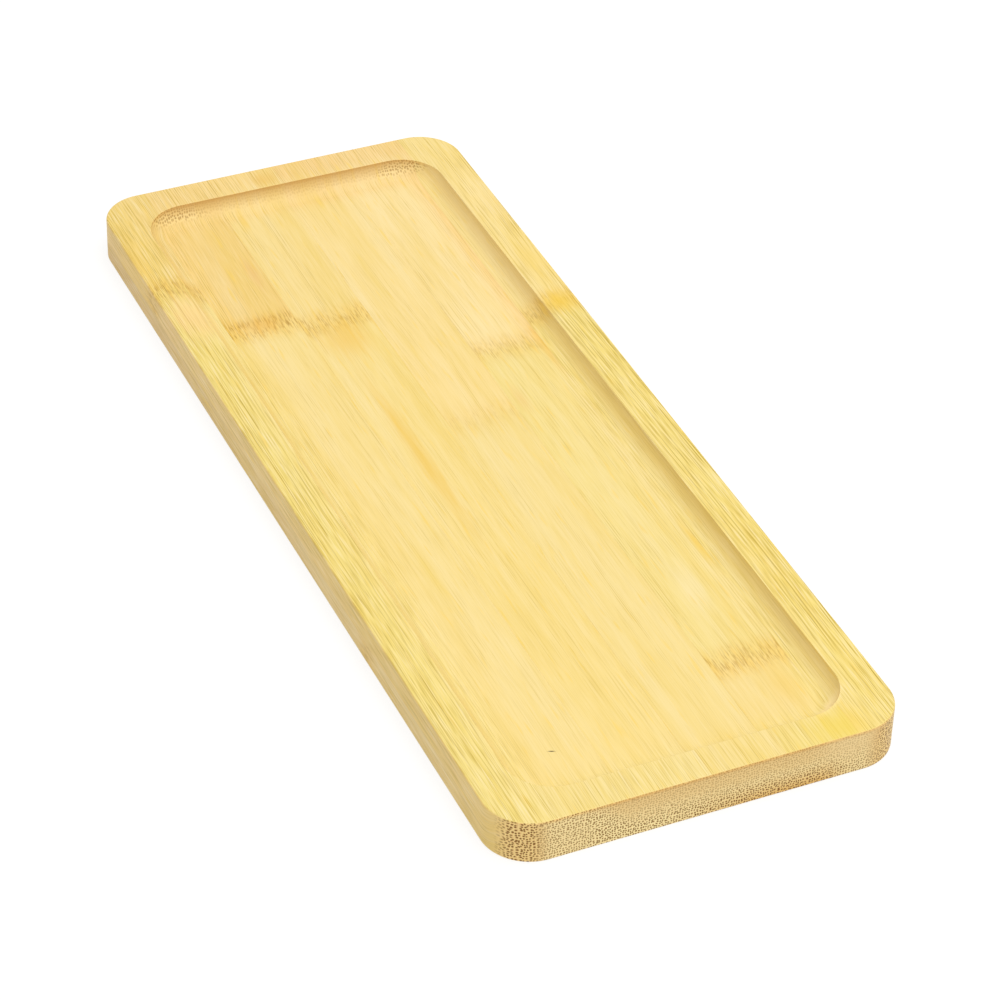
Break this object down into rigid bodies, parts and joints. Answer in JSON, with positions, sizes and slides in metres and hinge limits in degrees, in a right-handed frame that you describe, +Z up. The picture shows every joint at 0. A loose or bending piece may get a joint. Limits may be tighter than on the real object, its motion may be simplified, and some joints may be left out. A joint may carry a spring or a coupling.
{
  "type": "bamboo tray",
  "caption": "Rectangular bamboo tray with rounded corners and one shallow coved pocket, milled from a board of glued bamboo strips.",
  "frame": {"origin": "centre of the flat bottom face, at the height of the surface that the tray stands on", "axes": "+X across the strips to the right, +Y along the fibres and the length of the tray, +Z up out of the pocket"},
  "size_m": [0.11, 0.29, 0.0125],
  "materials": {
    "bamboo_rim_strip": "sanded natural bamboo, thin clear satin oil",
    "bamboo_floor_strip": "sanded natural bamboo, thin clear satin oil",
    "bamboo_base_strip": "sanded natural bamboo, thin clear satin oil"
  },
  "bodies": {
    "root": {"left_rim_strip": "bamboo_rim_strip", "floor_strip_1": "bamboo_floor_strip", "floor_strip_2": "bamboo_floor_strip", "floor_strip_3": "bamboo_floor_strip", "floor_strip_4": "bamboo_floor_strip", "right_rim_strip": "bamboo_rim_strip", "base_strip_1": "bamboo_base_strip", "base_strip_2": "bamboo_base_strip", "base_strip_3": "bamboo_base_strip", "base_strip_4": "bamboo_base_strip", "base_strip_5": "bamboo_base_strip"}
  },
  "joints": []
}
